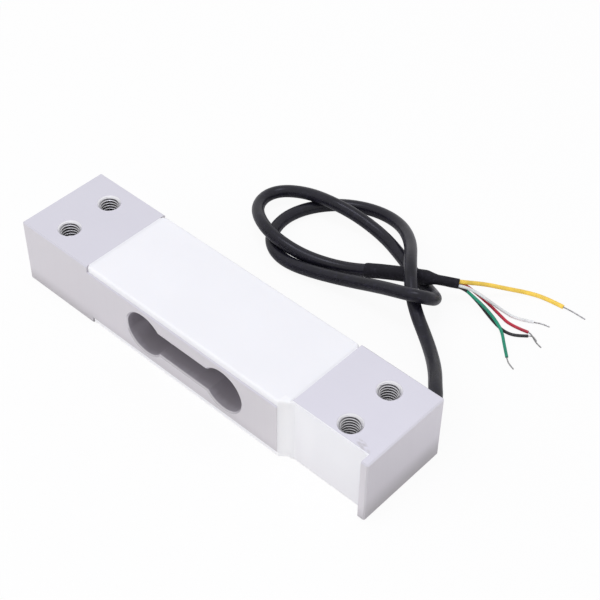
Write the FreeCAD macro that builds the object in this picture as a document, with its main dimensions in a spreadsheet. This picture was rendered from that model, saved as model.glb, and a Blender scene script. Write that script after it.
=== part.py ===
"""Parallel beam load cell: a single-point cell with its sealed wiring and its signal cable.

Frame, in millimetres: +X runs along the beam from the load end to the cable end, +Y across it to
the face that the cable leaves, +Z up. The origin is the middle of the beam's underside.
"""
import FreeCAD, Part

import math
import os

import Sketcher

Vector = FreeCAD.Vector

SIZES = {
    # beam block
    "beam_length": 130.0,
    "beam_width": 30.0,
    "beam_height": 22.0,
    "edge_chamfer": 0.4,
    # recesses over and under the flexures
    "end_pad_length": 27.5,
    "gauge_recess_depth": 2.0,
    # binocular bore across the beam
    "flexure_thickness": 2.1,
    "lobe_spacing": 30.0,
    "bore_slot_height": 8.2,
    "bore_chamfer": 0.4,
    # mounting holes in each end block
    "mount_hole_diameter": 6.0,
    "mount_hole_edge_distance": 7.5,
    "mount_hole_end_distance": 12.0,
    "mount_countersink": 0.5,
    # recess in the near side for the wiring
    "end_lip": 2.2,
    "side_recess_length": 28.0,
    "side_recess_depth": 3.2,
    # pocket for the compensation board, inside the side recess
    "board_pocket_inset": 1.0,
    "board_pocket_length": 13.1,
    "board_pocket_end_wall": 3.0,
    "board_pocket_depth": 4.4,
    # notches that bring the gauge wires down into the side recess
    "notch_length": 1.6,
    "notch_depth": 2.0,
    # cable hole and the groove from it to the board
    "cable_hole_diameter": 4.6,
    "cable_hole_end_distance": 6.0,
    "core_groove_height": 4.0,
    "core_groove_depth": 0.9,
    # silicone seals
    "strip_edge_radius": 0.6,
    "strip_corner_radius": 1.5,
    "near_corner_radius": 0.5,
    "seal_skin": 0.4,
    "meniscus_height": 2.6,
    "meniscus_length": 3.7,
    "meniscus_radius": 10.0,
    "lip_meniscus": 0.8,
    "channel_depth": 0.6,
    "channel_clearance": 0.4,
    "plug_clearance": 0.4,
    "plug_inset": 2.0,
    "plug_length": 5.0,
    # strain gauges
    "film_length": 9.0,
    "film_width": 5.5,
    "film_thickness": 0.1,
    "foil_thickness": 0.05,
    "strand_count": 8.0,
    "strand_width": 0.25,
    "strand_pitch": 0.5,
    "strand_length": 4.6,
    "foil_tab_length": 1.5,
    "foil_tab_width": 1.0,
    "gauge_wire_diameter": 0.25,
    "gauge_wire_spacing": 0.4,
    "gauge_wire_bend": 0.6,
    "gauge_wire_edge_distance": 0.3,
    "solder_spacing": 0.8,
    # compensation board and its resistors
    "board_length": 10.2,
    "board_end_clearance": 1.0,
    "board_thickness": 0.8,
    "trim_count": 3.0,
    "trim_length": 2.0,
    "trim_height": 1.25,
    "trim_thickness": 0.6,
    "trim_spacing": 3.2,
    "trim_inset": 2.4,
    "trim_edge_distance": 1.2,
    "span_length": 3.2,
    "span_height": 1.6,
    "resistor_gap": 0.5,
    "landing_inset": 0.9,
    "landing_spacing": 0.7,
    # signal cable
    "cable_diameter": 3.9,
    "jacket_end_distance": 2.8,
    "core_diameter": 0.8,
    "core_spacing": 0.95,
    "core_bend": 1.2,
    "core_tail": 2.0,
    # shrink sleeve and leads
    "sleeve_wall": 0.25,
    "sleeve_gap": 0.03,
    "sleeve_taper_length": 4.0,
    "sleeve_end_diameter": 3.0,
    "sleeve_mouth_diameter": 2.64,
    "sleeve_mouth_depth": 2.0,
    "drain_lead_diameter": 1.3,
    "lead_diameter": 0.85,
    "wire_end_diameter": 0.4,
}

# The free cable, from the beam's face to the end of its jacket, as it lies on the table.
CABLE_ROUTE = [
    (59.0, 15.0, 11.0), (59.0, 19.0, 11.0), (57.4, 22.3, 10.8), (54.8, 25.3, 10.3),
    (50.8, 30.5, 8.6), (45.3, 36.4, 6.0), (38.6, 42.1, 4.5), (31.5, 46.4, 6.0),
    (26.0, 50.3, 9.0), (20.2, 56.9, 11.2), (11.4, 68.5, 6.8), (1.2, 75.7, 3.4),
    (-9.7, 76.1, 2.0), (-19.0, 70.8, 2.0), (-25.1, 62.6, 2.0), (-27.2, 53.9, 2.0),
    (-24.8, 45.5, 2.0), (-18.9, 40.7, 2.0), (-11.6, 39.4, 2.2), (-2.7, 41.4, 3.0),
    (8.0, 44.1, 5.2), (19.1, 45.3, 9.2), (27.4, 45.5, 12.2), (32.2, 47.7, 12.2),
    (33.3, 51.8, 9.2), (30.9, 56.0, 5.0), (26.2, 59.6, 2.0), (19.0, 61.8, 2.0),
    (11.0, 65.3, 2.0), (1.6, 68.3, 2.5), (-8.5, 67.9, 4.8), (-16.8, 65.6, 6.9),
    (-26.5, 65.0, 5.6), (-34.6, 61.7, 4.2), (-37.1, 56.0, 4.0), (-34.2, 49.1, 4.8),
    (-26.2, 43.8, 6.5), (-17.6, 42.6, 5.8), (-8.4, 45.0, 3.4), (2.8, 49.6, 2.6),
    (13.4, 55.0, 5.0), (24.76, 59.41, 6.8),
]

# Mouth of the shrink sleeve, beyond the end of the jacket.
SLEEVE_END = (32.76, 64.41, 6.1)
# Share of the cable's last run but one at which the sleeve begins.
SLEEVE_START = 0.46

# Each lead from the floor of the sleeve's mouth to the end of its insulation.
LEAD_ROUTES = {
    "yellow": [(31.109, 63.376, 6.866), (34.153, 65.279, 6.6), (38.07, 70.05, 5.0), (42.35, 75.2, 2.4),
               (47.3, 79.36, 1.0), (52.26, 81.54, 0.7), (58.02, 82.12, 0.7)],
    "green": [(31.529, 62.613, 6.228), (34.405, 64.41, 5.976), (38.56, 65.5, 3.6), (42.37, 65.28, 2.0),
              (46.84, 63.89, 1.5), (51.31, 61.31, 1.4), (54.29, 58.34, 0.7), (57.67, 55.07, 0.5)],
    "black": [(31.263, 62.936, 5.485), (34.138, 64.733, 5.234), (39.04, 65.61, 2.0), (43.85, 64.6, 0.5),
              (48.32, 63.01, 0.5), (51.8, 62.31, 0.5), (54.78, 63.29, 0.5), (57.35, 65.67, 0.5)],
    "white": [(30.781, 63.708, 5.485), (33.656, 65.505, 5.234), (37.57, 67.08, 3.8), (41.87, 67.66, 2.2),
              (46.33, 68.66, 0.9), (50.79, 69.84, 0.5), (55.16, 71.52, 0.5)],
    "red": [(30.607, 64.089, 6.228), (33.483, 65.886, 5.976), (36.36, 69.07, 3.2), (40.66, 69.46, 0.8),
            (45.83, 67.47, 0.5), (50.8, 66.08, 0.5), (56.46, 66.96, 0.6)],
}

# The bare wire beyond each lead; the first point is the end of the lead's insulation.
WIRE_END_ROUTES = {
    "yellow": [(58.02, 82.12, 0.7), (59.99, 82.32, 0.7), (62.28, 82.61, 0.5), (65.26, 82.8, 0.3)],
    "green": [(57.67, 55.07, 0.5), (58.45, 54.31, 0.454), (59.65, 53.48, 0.3), (61.74, 52.79, 0.3)],
    "black": [(57.35, 65.67, 0.5), (57.94, 66.2, 0.5), (58.94, 66.06, 1.0), (60.53, 65.16, 1.1)],
    "white": [(55.16, 71.52, 0.5), (55.99, 71.83, 0.5), (57.14, 72.71, 0.4), (59.52, 73.2, 0.3)],
    "red": [(56.46, 66.96, 0.6), (57.34, 67.09, 0.616), (58.74, 66.26, 0.4), (60.43, 65.17, 0.3),
            (62.51, 64.77, 0.3)],
}


class Size:
    """A length worked out from the sheet: its present value and the formula that gives it."""

    def __init__(self, value, formula):
        self.value = value
        self.formula = formula

    def _joined(self, sign, other, value):
        other_formula = other.formula if isinstance(other, Size) else repr(float(other))
        return Size(value, f"({self.formula} {sign} {other_formula})")

    def __add__(self, other):
        return self._joined("+", other, self.value + number(other))

    def __sub__(self, other):
        return self._joined("-", other, self.value - number(other))

    def __mul__(self, other):
        return self._joined("*", other, self.value * number(other))

    def __truediv__(self, other):
        return self._joined("/", other, self.value / number(other))

    def __neg__(self):
        return Size(-self.value, f"(-1 * {self.formula})")


def number(size):
    """The plain number of a size or of a number."""
    return size.value if isinstance(size, Size) else float(size)


def as_size(amount):
    """A size from a size or from a plain number."""
    return amount if isinstance(amount, Size) else Size(float(amount), repr(float(amount)))


doc = FreeCAD.newDocument("LoadCell")


def make_sheet():
    """Put the driving sizes in a sheet and give each its alias."""
    sheet = doc.addObject("Spreadsheet::Sheet", "Sizes")
    for row, (name, value) in enumerate(SIZES.items(), 1):
        sheet.set(f"A{row}", name)
        sheet.set(f"B{row}", repr(value))
        sheet.setAlias(f"B{row}", name)
    doc.recompute()
    return {name: Size(value, f"Sizes.{name}") for name, value in SIZES.items()}


S = make_sheet()

# Planes and axes that several pieces share.
HALF_LENGTH = S["beam_length"] / 2
HALF_WIDTH = S["beam_width"] / 2
MID_HEIGHT = S["beam_height"] / 2
RECESS_END = HALF_LENGTH - S["end_pad_length"]
TOP_FLOOR = S["beam_height"] - S["gauge_recess_depth"]
STRIP_SIDE = HALF_WIDTH - S["edge_chamfer"]
LOBE_X = S["lobe_spacing"] / 2
LOBE_DIAMETER = TOP_FLOOR - S["gauge_recess_depth"] - S["flexure_thickness"] * 2
MOUNT_X = HALF_LENGTH - S["mount_hole_end_distance"]
MOUNT_Y = HALF_WIDTH - S["mount_hole_edge_distance"]
SIDE_RIGHT = HALF_LENGTH - S["end_lip"]
SIDE_LEFT = SIDE_RIGHT - S["side_recess_length"]
SIDE_PLANE = -(HALF_WIDTH - S["side_recess_depth"])
CABLE_X = HALF_LENGTH - S["cable_hole_end_distance"]
POCKET_LEFT = SIDE_LEFT + S["board_pocket_inset"]
POCKET_RIGHT = POCKET_LEFT + S["board_pocket_length"]
POCKET_BOTTOM = S["board_pocket_end_wall"]
POCKET_TOP = S["beam_height"] - S["board_pocket_end_wall"]
POCKET_FLOOR = SIDE_PLANE + S["board_pocket_depth"]
BOARD_RIGHT = POCKET_RIGHT - S["channel_clearance"]
BOARD_LEFT = BOARD_RIGHT - S["board_length"]
BOARD_FACE = POCKET_FLOOR - S["board_thickness"]
BOARD_BOTTOM = POCKET_BOTTOM + S["board_end_clearance"]
BOARD_TOP = POCKET_TOP - S["board_end_clearance"]
JACKET_END = SIDE_PLANE + S["jacket_end_distance"]
CORE_Y = SIDE_PLANE + S["core_groove_depth"] / 2
WIRE_TOP = TOP_FLOOR + S["film_thickness"] + S["foil_thickness"] + S["gauge_wire_diameter"] / 2
STRANDS_LEFT = -LOBE_X - S["strand_length"] / 2
TAB_X = -STRANDS_LEFT + S["strand_pitch"] + S["foil_tab_length"] / 2
MENISCUS_FOOT_X = SIDE_LEFT + S["meniscus_length"]
MENISCUS_FOOT_Y = SIDE_PLANE - S["seal_skin"]
MENISCUS_TOP_Y = MENISCUS_FOOT_Y - S["meniscus_height"]


def bind(item, name, size):
    """Tie one property of an object to a size."""
    item.setExpression(name, as_size(size).formula)


def new_body(label):
    """Start a sub-part."""
    body = doc.addObject("PartDesign::Body", label)
    body.Label = label
    body.Placement = FreeCAD.Placement()
    return body


def new_sketch(body, name, plane, offset=0.0):
    """Start a sketch on one of the body's own planes, moved along the plane's normal."""
    sketch = body.newObject("Sketcher::SketchObject", name)
    support = next(item for item in body.Origin.OriginFeatures if item.Role == plane)
    sketch.AttachmentSupport = [(support, "")]
    sketch.MapMode = "FlatFace"
    bind(sketch, "AttachmentOffset.Base.z", offset)
    return sketch


def draw_outline(sketch, points, arcs=None):
    """Draw a closed outline; arcs maps the number of a side to its radius, minus if it turns right."""
    arcs = arcs or {}
    first = sketch.GeometryCount
    spots = [Vector(number(x), number(y), 0) for x, y in points]
    ends = []
    for side, (start, stop) in enumerate(zip(spots, spots[1:] + spots[:1])):
        if side not in arcs:
            sketch.addGeometry(Part.LineSegment(start, stop), False)
            ends.append((1, 2))
            continue
        chord = stop - start
        radius = number(arcs[side])
        sag = abs(radius) - math.sqrt(radius ** 2 - chord.Length ** 2 / 4)
        across = Vector(chord.y, -chord.x, 0) * (math.copysign(sag, radius) / chord.Length)
        sketch.addGeometry(Part.Arc(start, (start + stop) / 2 + across, stop), False)
        ends.append((1, 2) if radius > 0 else (2, 1))
    rules = []
    for side in range(len(spots)):
        following = (side + 1) % len(spots)
        rules.append(Sketcher.Constraint(
            "Coincident", first + side, ends[side][1], first + following, ends[following][0]))
    ties = []
    for side, (x, y) in enumerate(points):
        for kind, size in (("DistanceX", x), ("DistanceY", y)):
            ties.append(size)
            rules.append(Sketcher.Constraint(
                kind, -1, 1, first + side, ends[side][0], number(size)))
    for side, radius in arcs.items():
        size = radius if number(radius) > 0 else -radius
        ties.append(size)
        rules.append(Sketcher.Constraint("Radius", first + side, number(size)))
    start = sketch.ConstraintCount
    sketch.addConstraint(rules)
    for place, size in enumerate(ties, start + len(spots)):
        bind(sketch, f"Constraints[{place}]", size)


def draw_rectangle(sketch, left, bottom, right, top):
    """Draw a rectangle between two corners."""
    draw_outline(sketch, [(left, bottom), (right, bottom), (right, top), (left, top)])


def draw_circle(sketch, x, y, diameter):
    """Draw a circle about a point."""
    index = sketch.addGeometry(
        Part.Circle(Vector(number(x), number(y), 0), Vector(0, 0, 1), number(diameter) / 2), False)
    start = sketch.ConstraintCount
    sketch.addConstraint([
        Sketcher.Constraint("DistanceX", -1, 1, index, 3, number(x)),
        Sketcher.Constraint("DistanceY", -1, 1, index, 3, number(y)),
        Sketcher.Constraint("Diameter", index, number(diameter)),
    ])
    for place, size in enumerate((x, y, diameter), start):
        bind(sketch, f"Constraints[{place}]", size)


def pad(body, name, sketch, length, symmetric=False, backward=False):
    """Pad a sketch."""
    feature = body.newObject("PartDesign::Pad", name)
    feature.Profile = sketch
    bind(feature, "Length", length)
    feature.Midplane = symmetric
    feature.Reversed = backward
    doc.recompute()
    return feature


def pocket(body, name, sketch, length=None, backward=False):
    """Cut a sketch out of the body, through all of it where no length is given."""
    before = body.Shape.Volume
    feature = body.newObject("PartDesign::Pocket", name)
    feature.Profile = sketch
    if length is None:
        feature.Type = "ThroughAll"
        feature.Midplane = True
    else:
        bind(feature, "Length", length)
        feature.Reversed = backward
    doc.recompute()
    if not body.Shape.Volume < before:
        raise RuntimeError(f"{body.Label}: {name} removes nothing")
    return feature


def dress(body, name, kind, size, chosen):
    """Chamfer or fillet the edges of the body's present shape that a test picks."""
    tip = body.Tip
    names = [f"Edge{place}" for place, edge in enumerate(tip.Shape.Edges, 1) if chosen(edge)]
    if not names:
        raise RuntimeError(f"{body.Label}: {name} finds no edge")
    feature = body.newObject(f"PartDesign::{kind}", name)
    feature.Base = (tip, names)
    bind(feature, "Size" if kind == "Chamfer" else "Radius", size)
    doc.recompute()
    return feature


def near(value, *targets):
    """Whether a number equals one of the targets."""
    return any(abs(value - number(target)) < 1e-4 for target in targets)


def spans(edge, axis, *targets):
    """Whether an edge lies on one of the planes that cross an axis at the targets."""
    low = getattr(edge.BoundBox, f"{axis}Min")
    high = getattr(edge.BoundBox, f"{axis}Max")
    return abs(high - low) < 1e-4 and near(low, *targets)


def outer_block_edge(edge):
    """Whether an edge is where two outer faces of the beam's block meet."""
    planes = [
        spans(edge, "X", HALF_LENGTH, -HALF_LENGTH),
        spans(edge, "Y", HALF_WIDTH, -HALF_WIDTH),
        spans(edge, "Z", 0, S["beam_height"]),
    ]
    return sum(planes) == 2


def recess_side_edge(edge):
    """Whether an edge is where a gauge recess's floor meets one of the beam's sides."""
    return (
        spans(edge, "Y", HALF_WIDTH, -HALF_WIDTH)
        and spans(edge, "Z", S["gauge_recess_depth"], TOP_FLOOR)
        and edge.BoundBox.XLength > number(RECESS_END)
    )


def mount_hole_rim(edge):
    """Whether an edge is the rim of a mounting hole."""
    return (
        isinstance(edge.Curve, Part.Circle)
        and near(edge.Curve.Radius * 2, S["mount_hole_diameter"])
        and spans(edge, "Z", 0, S["beam_height"])
    )


def bore_rim(edge):
    """Whether an edge is part of the binocular bore's rim."""
    reach = number(LOBE_X + LOBE_DIAMETER / 2) + 1e-3
    box = edge.BoundBox
    inside = box.XMin > -reach and box.XMax < reach
    between = box.ZMin > number(S["gauge_recess_depth"]) + 1e-3 and box.ZMax < number(TOP_FLOOR) - 1e-3
    return inside and between and spans(edge, "Y", HALF_WIDTH, -HALF_WIDTH)


def cut_binocular_bore(body):
    """Bore the two lobes across the beam and mill the slot that joins them."""
    lobes = new_sketch(body, "lobes", "XZ_Plane")
    for x in (-LOBE_X, LOBE_X):
        draw_circle(lobes, x, MID_HEIGHT, LOBE_DIAMETER)
    pocket(body, "lobe_bores", lobes)
    slot = new_sketch(body, "slot", "XZ_Plane")
    half_slot = S["bore_slot_height"] / 2
    draw_rectangle(slot, -LOBE_X, MID_HEIGHT - half_slot, LOBE_X, MID_HEIGHT + half_slot)
    pocket(body, "joining_slot", slot)


def cut_wiring_recess(body):
    """Mill the side recess, the board's pocket, the wire notches and the groove to the cable hole."""
    near_face = HALF_WIDTH
    recess = new_sketch(body, "side_recess", "XZ_Plane", near_face)
    draw_rectangle(recess, SIDE_LEFT, -1, SIDE_RIGHT, S["beam_height"] + 1)
    pocket(body, "side_recess_cut", recess, S["side_recess_depth"])
    recess_floor = -SIDE_PLANE
    board = new_sketch(body, "board_pocket", "XZ_Plane", recess_floor)
    draw_rectangle(board, POCKET_LEFT, POCKET_BOTTOM, POCKET_RIGHT, POCKET_TOP)
    pocket(body, "board_pocket_cut", board, S["board_pocket_depth"])
    notch = new_sketch(body, "wire_notch", "XZ_Plane", recess_floor)
    draw_rectangle(notch, POCKET_LEFT, -1, POCKET_LEFT + S["notch_length"], S["beam_height"] + 1)
    pocket(body, "wire_notch_cut", notch, S["notch_depth"])
    groove = new_sketch(body, "core_groove", "XZ_Plane", recess_floor)
    half_groove = S["core_groove_height"] / 2
    draw_rectangle(groove, POCKET_LEFT + S["notch_length"], MID_HEIGHT - half_groove,
                   CABLE_X, MID_HEIGHT + half_groove)
    pocket(body, "core_groove_cut", groove, S["core_groove_depth"])


def cut_holes(body):
    """Drill the four mounting holes and the cable hole."""
    mounts = new_sketch(body, "mount_holes", "XY_Plane", S["beam_height"])
    for x in (-MOUNT_X, MOUNT_X):
        for y in (-MOUNT_Y, MOUNT_Y):
            draw_circle(mounts, x, y, S["mount_hole_diameter"])
    pocket(body, "mount_hole_bores", mounts, S["beam_height"])
    cable = new_sketch(body, "cable_hole", "XZ_Plane")
    draw_circle(cable, CABLE_X, MID_HEIGHT, S["cable_hole_diameter"])
    pocket(body, "cable_hole_bore", cable)


def make_beam():
    """The machined block: end pads, flexures, bores and the wiring recess."""
    body = new_body("beam")
    profile = new_sketch(body, "beam_profile", "XZ_Plane")
    low = S["gauge_recess_depth"]
    top = S["beam_height"]
    draw_outline(profile, [
        (-HALF_LENGTH, 0), (-RECESS_END, 0), (-RECESS_END, low), (RECESS_END, low),
        (RECESS_END, 0), (HALF_LENGTH, 0), (HALF_LENGTH, top), (RECESS_END, top),
        (RECESS_END, TOP_FLOOR), (-RECESS_END, TOP_FLOOR), (-RECESS_END, top), (-HALF_LENGTH, top),
    ])
    pad(body, "block", profile, S["beam_width"], symmetric=True)
    cut_binocular_bore(body)
    cut_wiring_recess(body)
    cut_holes(body)
    dress(body, "outer_chamfer", "Chamfer", S["edge_chamfer"], outer_block_edge)
    dress(body, "recess_chamfer", "Chamfer", S["edge_chamfer"], recess_side_edge)
    dress(body, "mount_countersinks", "Chamfer", S["mount_countersink"], mount_hole_rim)
    dress(body, "bore_rims", "Chamfer", S["bore_chamfer"], bore_rim)
    return body


def strip_edge(edge):
    """Whether an edge is one of the top strip's outer edges, its ends against the pads left out."""
    across = spans(edge, "X", RECESS_END, -RECESS_END)
    return spans(edge, "Z", S["beam_height"]) and not across


def cut_strip_corners(body):
    """Round the strip's corners in plan, except where the side panel meets it."""
    corners = new_sketch(body, "corner_outlines", "XY_Plane", S["beam_height"] + 1)
    far_radius = S["strip_corner_radius"]
    for side_x, side_y, radius in (
            (-1, -1, S["near_corner_radius"]), (-1, 1, far_radius), (1, 1, far_radius)):
        x = RECESS_END * side_x
        y = STRIP_SIDE * side_y
        draw_outline(
            corners, [(x, y - radius * side_y), (x, y), (x - radius * side_x, y)],
            {2: radius * (-side_x * side_y)})
    pocket(body, "corner_cuts", corners, S["gauge_recess_depth"] + 2)
    panel = new_sketch(body, "panel_corner", "XY_Plane", S["beam_height"] + 1)
    draw_outline(panel, [
        (SIDE_LEFT, -HALF_WIDTH - 1), (MENISCUS_FOOT_X + 1, -HALF_WIDTH - 1),
        (MENISCUS_FOOT_X + 1, MENISCUS_FOOT_Y), (MENISCUS_FOOT_X, MENISCUS_FOOT_Y),
        (SIDE_LEFT, MENISCUS_TOP_Y),
    ], {3: S["meniscus_radius"]})
    pocket(body, "panel_corner_cut", panel, S["gauge_recess_depth"] + 2)


def cut_wiring_hollows(body):
    """Leave room under the strip for the gauges and for their wires."""
    depth = S["channel_depth"]
    room = S["channel_clearance"]
    half_film = S["film_length"] / 2 + room
    gauges = new_sketch(body, "gauge_hollows", "XY_Plane", TOP_FLOOR)
    for x in (-LOBE_X, LOBE_X):
        draw_rectangle(gauges, x - half_film, -(S["film_width"] / 2) - room,
                       x + half_film, S["film_width"] / 2 + room)
    pocket(body, "gauge_hollows_cut", gauges, depth, backward=True)
    half_tab = S["foil_tab_length"] / 2 + room
    columns = new_sketch(body, "wire_columns", "XY_Plane", TOP_FLOOR)
    for x in (-TAB_X, TAB_X):
        draw_rectangle(columns, x - half_tab, wire_row(0) - room, x + half_tab, 0)
    pocket(body, "wire_columns_cut", columns, depth, backward=True)
    trunk = new_sketch(body, "wire_trunk", "XY_Plane", TOP_FLOOR)
    draw_rectangle(trunk, -TAB_X - half_tab, wire_row(0) - room,
                   POCKET_LEFT + S["notch_length"], wire_row(3) + room)
    pocket(body, "wire_trunk_cut", trunk, depth, backward=True)


def make_top_seal():
    """The silicone strip that fills the top recess over the strain gauges."""
    body = new_body("top_seal")
    outline = new_sketch(body, "strip_outline", "XY_Plane", TOP_FLOOR)
    draw_rectangle(outline, -RECESS_END, -STRIP_SIDE, RECESS_END, STRIP_SIDE)
    pad(body, "strip", outline, S["gauge_recess_depth"])
    cut_strip_corners(body)
    dress(body, "strip_edges", "Fillet", S["strip_edge_radius"], strip_edge)
    cut_wiring_hollows(body)
    return body


def wire_row(place):
    """Y of one of the four parallel gauge wires, counted from the near side."""
    return SIDE_PLANE + S["gauge_wire_edge_distance"] + S["gauge_wire_spacing"] * place


def make_side_seal():
    """The silicone panel over the wiring recess, with a plug into the board's pocket."""
    body = new_body("side_seal")
    panel = new_sketch(body, "panel_outline", "XY_Plane")
    lip = S["lip_meniscus"]
    draw_outline(panel, [
        (SIDE_LEFT, SIDE_PLANE), (SIDE_LEFT, MENISCUS_TOP_Y), (MENISCUS_FOOT_X, MENISCUS_FOOT_Y),
        (SIDE_RIGHT - lip, MENISCUS_FOOT_Y), (SIDE_RIGHT, MENISCUS_FOOT_Y - lip),
        (SIDE_RIGHT, SIDE_PLANE),
    ], {1: -S["meniscus_radius"], 3: -lip})
    pad(body, "panel", panel, S["beam_height"])
    ends = new_sketch(body, "strip_rooms", "XZ_Plane", HALF_WIDTH + 1)
    low = S["gauge_recess_depth"]
    draw_rectangle(ends, SIDE_LEFT - 1, TOP_FLOOR, RECESS_END, S["beam_height"] + 1)
    draw_rectangle(ends, SIDE_LEFT - 1, -1, RECESS_END, low)
    pocket(body, "strip_rooms_cut", ends, S["side_recess_depth"] + 2)
    plug = new_sketch(body, "plug_outline", "XZ_Plane", -SIDE_PLANE)
    left = BOARD_LEFT + S["plug_inset"]
    draw_rectangle(plug, left, POCKET_BOTTOM, left + S["plug_length"], POCKET_TOP)
    depth = S["board_pocket_depth"] - S["board_thickness"] - S["trim_thickness"] - S["plug_clearance"]
    pad(body, "plug", plug, depth, backward=True)
    return body


def make_box(label, corner, edges):
    """A plain block from its lowest corner and its three edges."""
    box = doc.addObject("Part::Box", label)
    box.Label = label
    for name, size in zip(("Length", "Width", "Height"), edges):
        bind(box, name, size)
    for axis, size in zip("xyz", corner):
        bind(box, f"Placement.Base.{axis}", size)
    return box


def mirror(label, source, axis, place):
    """The mirror image of a piece across the plane that crosses an axis at a place."""
    image = doc.addObject("Part::Mirroring", label)
    image.Label = label
    image.Source = source
    image.Normal = Vector(*(1.0 if name == axis else 0.0 for name in "xyz"))
    bind(image, f"Base.{axis}", place)
    return image


def mirrored_set(source, stem):
    """The right-hand gauge piece and the two bottom ones, from the top left one."""
    right = mirror(f"{stem}_top_right", source, "x", 0)
    return [
        source, right,
        mirror(f"{stem}_bottom_left", source, "z", MID_HEIGHT),
        mirror(f"{stem}_bottom_right", right, "z", MID_HEIGHT),
    ]


def make_gauge_films():
    """The carrier films of the four strain gauges, bonded to the recess floors."""
    length = S["film_length"]
    width = S["film_width"]
    corner = (-LOBE_X - length / 2, -(width / 2), TOP_FLOOR)
    film = make_box("gauge_film_top_left", corner, (length, width, S["film_thickness"]))
    return mirrored_set(film, "gauge_film")


def strand_path(count):
    """Corners of the foil's middle line, back and forth over the flexure, and each run's direction."""
    tab_edge = STRANDS_LEFT - S["strand_pitch"]
    path = []
    for strand in range(count):
        y = S["strand_pitch"] * (strand - (count - 1) / 2)
        left = tab_edge if strand in (0, count - 1) else STRANDS_LEFT
        ends = (left, STRANDS_LEFT + S["strand_length"])
        path += [(x, y) for x in (ends if strand % 2 == 0 else ends[::-1])]
    turns = ((1, 0), (0, 1), (-1, 0), (0, 1))
    return path, [turns[run % 4] for run in range(len(path) - 1)]


def offset_side(path, directions, shift):
    """The path's corners moved sideways, to the left of travel where the shift is positive."""
    corners = []
    for place, (x, y) in enumerate(path):
        beside = directions[max(place - 1, 0):place + 1]
        step_x = sum(-across for _, across in beside)
        step_y = sum(along for along, _ in beside)
        corners.append((x + shift * step_x, y + shift * step_y))
    return corners


def make_gauge_grids():
    """The etched foil of each gauge: parallel strands joined end to end, with two solder tabs."""
    path, directions = strand_path(int(SIZES["strand_count"]))
    left_side = offset_side(path, directions, S["strand_width"] / 2)
    right_side = offset_side(path, directions, -S["strand_width"] / 2)
    tab_left = path[0][0] - S["foil_tab_length"]
    half_tab = S["foil_tab_width"] / 2
    tabs = []
    for edge, y in (path[-1], path[0]):
        tabs.append([
            (edge, y + half_tab), (tab_left, y + half_tab),
            (tab_left, y - half_tab), (edge, y - half_tab),
        ])
    body = new_body("gauge_grid_top_left")
    outline = new_sketch(body, "foil_outline", "XY_Plane", TOP_FLOOR + S["film_thickness"])
    last_tab, first_tab = tabs
    draw_outline(outline, right_side + last_tab + left_side[::-1] + first_tab)
    pad(body, "foil", outline, S["foil_thickness"])
    return mirrored_set(body, "gauge_grid")


def turn_of(before, corner, after):
    """The angle by which a route turns at a point."""
    return (corner - before).getAngle(after - corner)


def corner_radius(before, corner, after):
    """The largest radius that leaves a tenth of the shorter run straight."""
    shorter = min((corner - before).Length, (after - corner).Length)
    return 0.45 * shorter / math.tan(turn_of(before, corner, after) / 2)


def route_wire(points, radii=None):
    """Straight runs through the points, joined by tangent arcs."""
    edges = []
    start = points[0]
    for place, (before, corner, after) in enumerate(zip(points, points[1:], points[2:])):
        radius = radii[place] if radii else corner_radius(before, corner, after)
        half_turn = turn_of(before, corner, after) / 2
        reach = radius * math.tan(half_turn)
        back = (before - corner).normalize()
        onward = (after - corner).normalize()
        middle = (back + onward).normalize() * (radius / math.cos(half_turn) - radius)
        edges.append(Part.LineSegment(start, corner + back * reach).toShape())
        arc = Part.Arc(corner + back * reach, corner + middle, corner + onward * reach)
        edges.append(arc.toShape())
        start = corner + onward * reach
    edges.append(Part.LineSegment(start, points[-1]).toShape())
    return Part.Wire(edges)


def tube(points, diameter, radii=None):
    """A solid of round section along a route."""
    wire = route_wire(points, radii)
    direction = points[1] - points[0]
    profile = Part.Wire([Part.Circle(points[0], direction, diameter / 2).toShape()])
    solid = wire.makePipeShell([profile], True, False)
    expected = math.pi * diameter ** 2 / 4 * wire.Length
    if abs(solid.Volume / expected - 1) > 0.01:
        raise RuntimeError(f"tube of {wire.Length:.1f}: volume {solid.Volume:.2f} for {expected:.2f}")
    return solid


def set_shape(label, shape):
    """A sub-part whose shape is set here."""
    piece = doc.addObject("Part::Feature", label)
    piece.Label = label
    piece.Shape = shape
    piece.Placement = FreeCAD.Placement()
    return piece


def vectors(points):
    """Vectors from rows of sizes or numbers."""
    return [Vector(*(number(value) for value in point)) for point in points]


def solid_tubes(label, routes, diameter, bend):
    """A sub-part of one or more tubes whose bends all have the same radius."""
    solids = [
        tube(points, number(diameter), [number(bend)] * (len(points) - 2))
        for points in map(vectors, routes)
    ]
    return set_shape(label, solids[0] if len(solids) == 1 else Part.makeCompound(solids))


def make_gauge_wires():
    """Fine wires from the gauges' tabs along the recess and down to the board, top and bottom."""
    tab_y = S["strand_pitch"] * ((int(SIZES["strand_count"]) - 1) / 2)
    half_step = S["solder_spacing"] / 2
    drop_x = POCKET_LEFT + S["notch_length"] / 2
    land_x = BOARD_LEFT + S["landing_inset"]
    starts = [
        (-TAB_X - half_step, tab_y), (-TAB_X + half_step, -tab_y),
        (TAB_X - half_step, tab_y), (TAB_X + half_step, -tab_y),
    ]
    routes = []
    for row, (x, y) in enumerate(starts):
        side = wire_row(row)
        land = BOARD_TOP - S["landing_inset"] - S["landing_spacing"] * row
        routes.append([
            (x, y, WIRE_TOP), (x, side, WIRE_TOP), (drop_x, side, WIRE_TOP),
            (drop_x, side, land), (land_x, side, land), (land_x, BOARD_FACE, land),
        ])
    top = solid_tubes(
        "gauge_wires_top", routes, S["gauge_wire_diameter"], S["gauge_wire_bend"])
    return [top, mirror("gauge_wires_bottom", top, "z", MID_HEIGHT)]


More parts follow.
